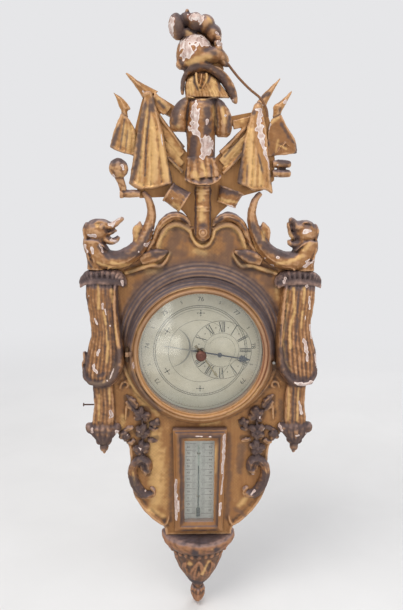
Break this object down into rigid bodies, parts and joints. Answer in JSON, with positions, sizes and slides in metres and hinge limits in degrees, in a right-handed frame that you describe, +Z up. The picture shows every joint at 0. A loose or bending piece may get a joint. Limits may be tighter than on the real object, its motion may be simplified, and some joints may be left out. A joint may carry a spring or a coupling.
{
  "type": "wheel barometer",
  "caption": "Carved giltwood wall barometer with a round glazed dial, a boxed thermometer below and a trophy of arms on top.",
  "frame": {"origin": "centre of the nail hole in the iron hanging plate, in the plane of the wall", "axes": "+X to the right as seen from the front, +Y into the wall, +Z up; the dial faces -Y"},
  "size_m": [0.4016, 0.0748, 1.0232],
  "materials": {
    "giltwood": "worn water gilding over red bole and white gesso, with dark dust in the hollows",
    "dusty_giltwood": "gilding almost hidden by grey dust",
    "gilt_bezel": "burnished gilding, rubbed to red bole on the right",
    "case_wood": "bare pine, aged and dusty",
    "silvered_plate": "yellowed silvering, matt",
    "clear_glass": "old clear glass",
    "old_brass": "tarnished brass",
    "blued_steel": "blued steel",
    "bright_steel": "dull steel",
    "bronzed_knob": "bronzed, worn brown",
    "mercury": "liquid mercury",
    "silk": "thin silk thread",
    "wrought_iron": "dark iron with a little rust"
  },
  "bodies": {
    "case": {"front_panel": "giltwood", "trophy_board": "giltwood", "thermometer_box": "giltwood", "helmet_shell": "giltwood", "helmet_plume": "giltwood", "helmet_lining": "giltwood", "curved_rod": "giltwood", "cuirass": "giltwood", "cannon_barrel": "giltwood", "banner_left_outer": "giltwood", "banner_left_inner": "giltwood", "banner_right_inner": "giltwood", "banner_right_outer": "giltwood", "lances_left": "giltwood", "lances_right": "giltwood", "field_drum_left": "giltwood", "field_drum_right": "giltwood", "arms_left": "giltwood", "arms_right": "giltwood", "dolphin_left": "giltwood", "dolphin_right": "giltwood", "scroll_left": "giltwood", "scroll_right": "giltwood", "drop_left": "giltwood", "drop_right": "giltwood", "garland_left": "giltwood", "garland_right": "giltwood", "pendant": "giltwood", "drum_moulding": "dusty_giltwood", "back_case": "case_wood", "tube_blocks": "case_wood", "dial_plate": "silvered_plate", "thermometer_scale": "silvered_plate", "thermometer_glass": "clear_glass", "siphon_tube": "clear_glass", "thermometer_tube": "clear_glass", "bezel_hinge": "old_brass", "arbor_bridge": "old_brass", "thermometer_staples": "old_brass", "pivot_screws": "bright_steel", "door_pins": "bright_steel", "drop_nail": "bright_steel", "mercury_column": "mercury", "thermometer_mercury": "mercury", "silk_thread": "silk", "hanging_plate": "wrought_iron", "wood_screws": "wrought_iron"},
    "bezel": {"bezel_ring": "gilt_bezel", "bezel_glass": "clear_glass"},
    "setter": {"set_knob": "bronzed_knob", "set_hand": "old_brass"},
    "movement": {"indicator_hand": "blued_steel", "hand_arbor": "bright_steel", "arbor_pulley": "old_brass"},
    "float": {"glass_float": "clear_glass"},
    "weight": {"counterweight": "old_brass"},
    "catch": {"bezel_catch": "old_brass"},
    "button": {"turn_button": "case_wood"},
    "door": {"rear_door": "case_wood"}
  },
  "joints": [
    {"name": "bezel_swing", "type": "hinge", "parent": "case", "child": "bezel", "pos_m": [-0.122, -0.0592, -0.33], "axis": [0, 0, -1], "range_deg": [0, 85]},
    {"name": "catch_turn", "type": "hinge", "parent": "case", "child": "catch", "pos_m": [0.1216, -0.0614, -0.344], "axis": [0, 1, 0], "range_deg": [0, 90]},
    {"name": "set_turn", "type": "hinge", "parent": "bezel", "child": "setter", "pos_m": [0, -0.0615, -0.33], "axis": [0, 1, 0], "continuous": true},
    {"name": "hand_turn", "type": "hinge", "parent": "case", "child": "movement", "pos_m": [0, -0.03, -0.33], "axis": [0, 1, 0], "range_deg": [-170, 170]},
    {"name": "float_slide", "type": "slide", "parent": "case", "child": "float", "axis": [0, 0, 1], "range_m": [-0.018, 0.018], "deforming": ["mercury_column"]},
    {"name": "weight_slide", "type": "slide", "parent": "case", "child": "weight", "axis": [0, 0, 1], "range_m": [-0.018, 0.018], "deforming": ["silk_thread"]},
    {"name": "rear_door_swing", "type": "hinge", "parent": "case", "child": "door", "pos_m": [-0.0374, -0.002, -0.39], "axis": [0, 0, 1], "range_deg": [0, 90]},
    {"name": "button_turn", "type": "hinge", "parent": "case", "child": "button", "pos_m": [0.044, -0.0017, -0.39], "axis": [0, 1, 0], "range_deg": [0, 90]}
  ],
  "couplings": [
    {"joint": "float_slide", "follows": "hand_turn", "m_per_rad": -0.006},
    {"joint": "weight_slide", "follows": "hand_turn", "m_per_rad": 0.006}
  ]
}
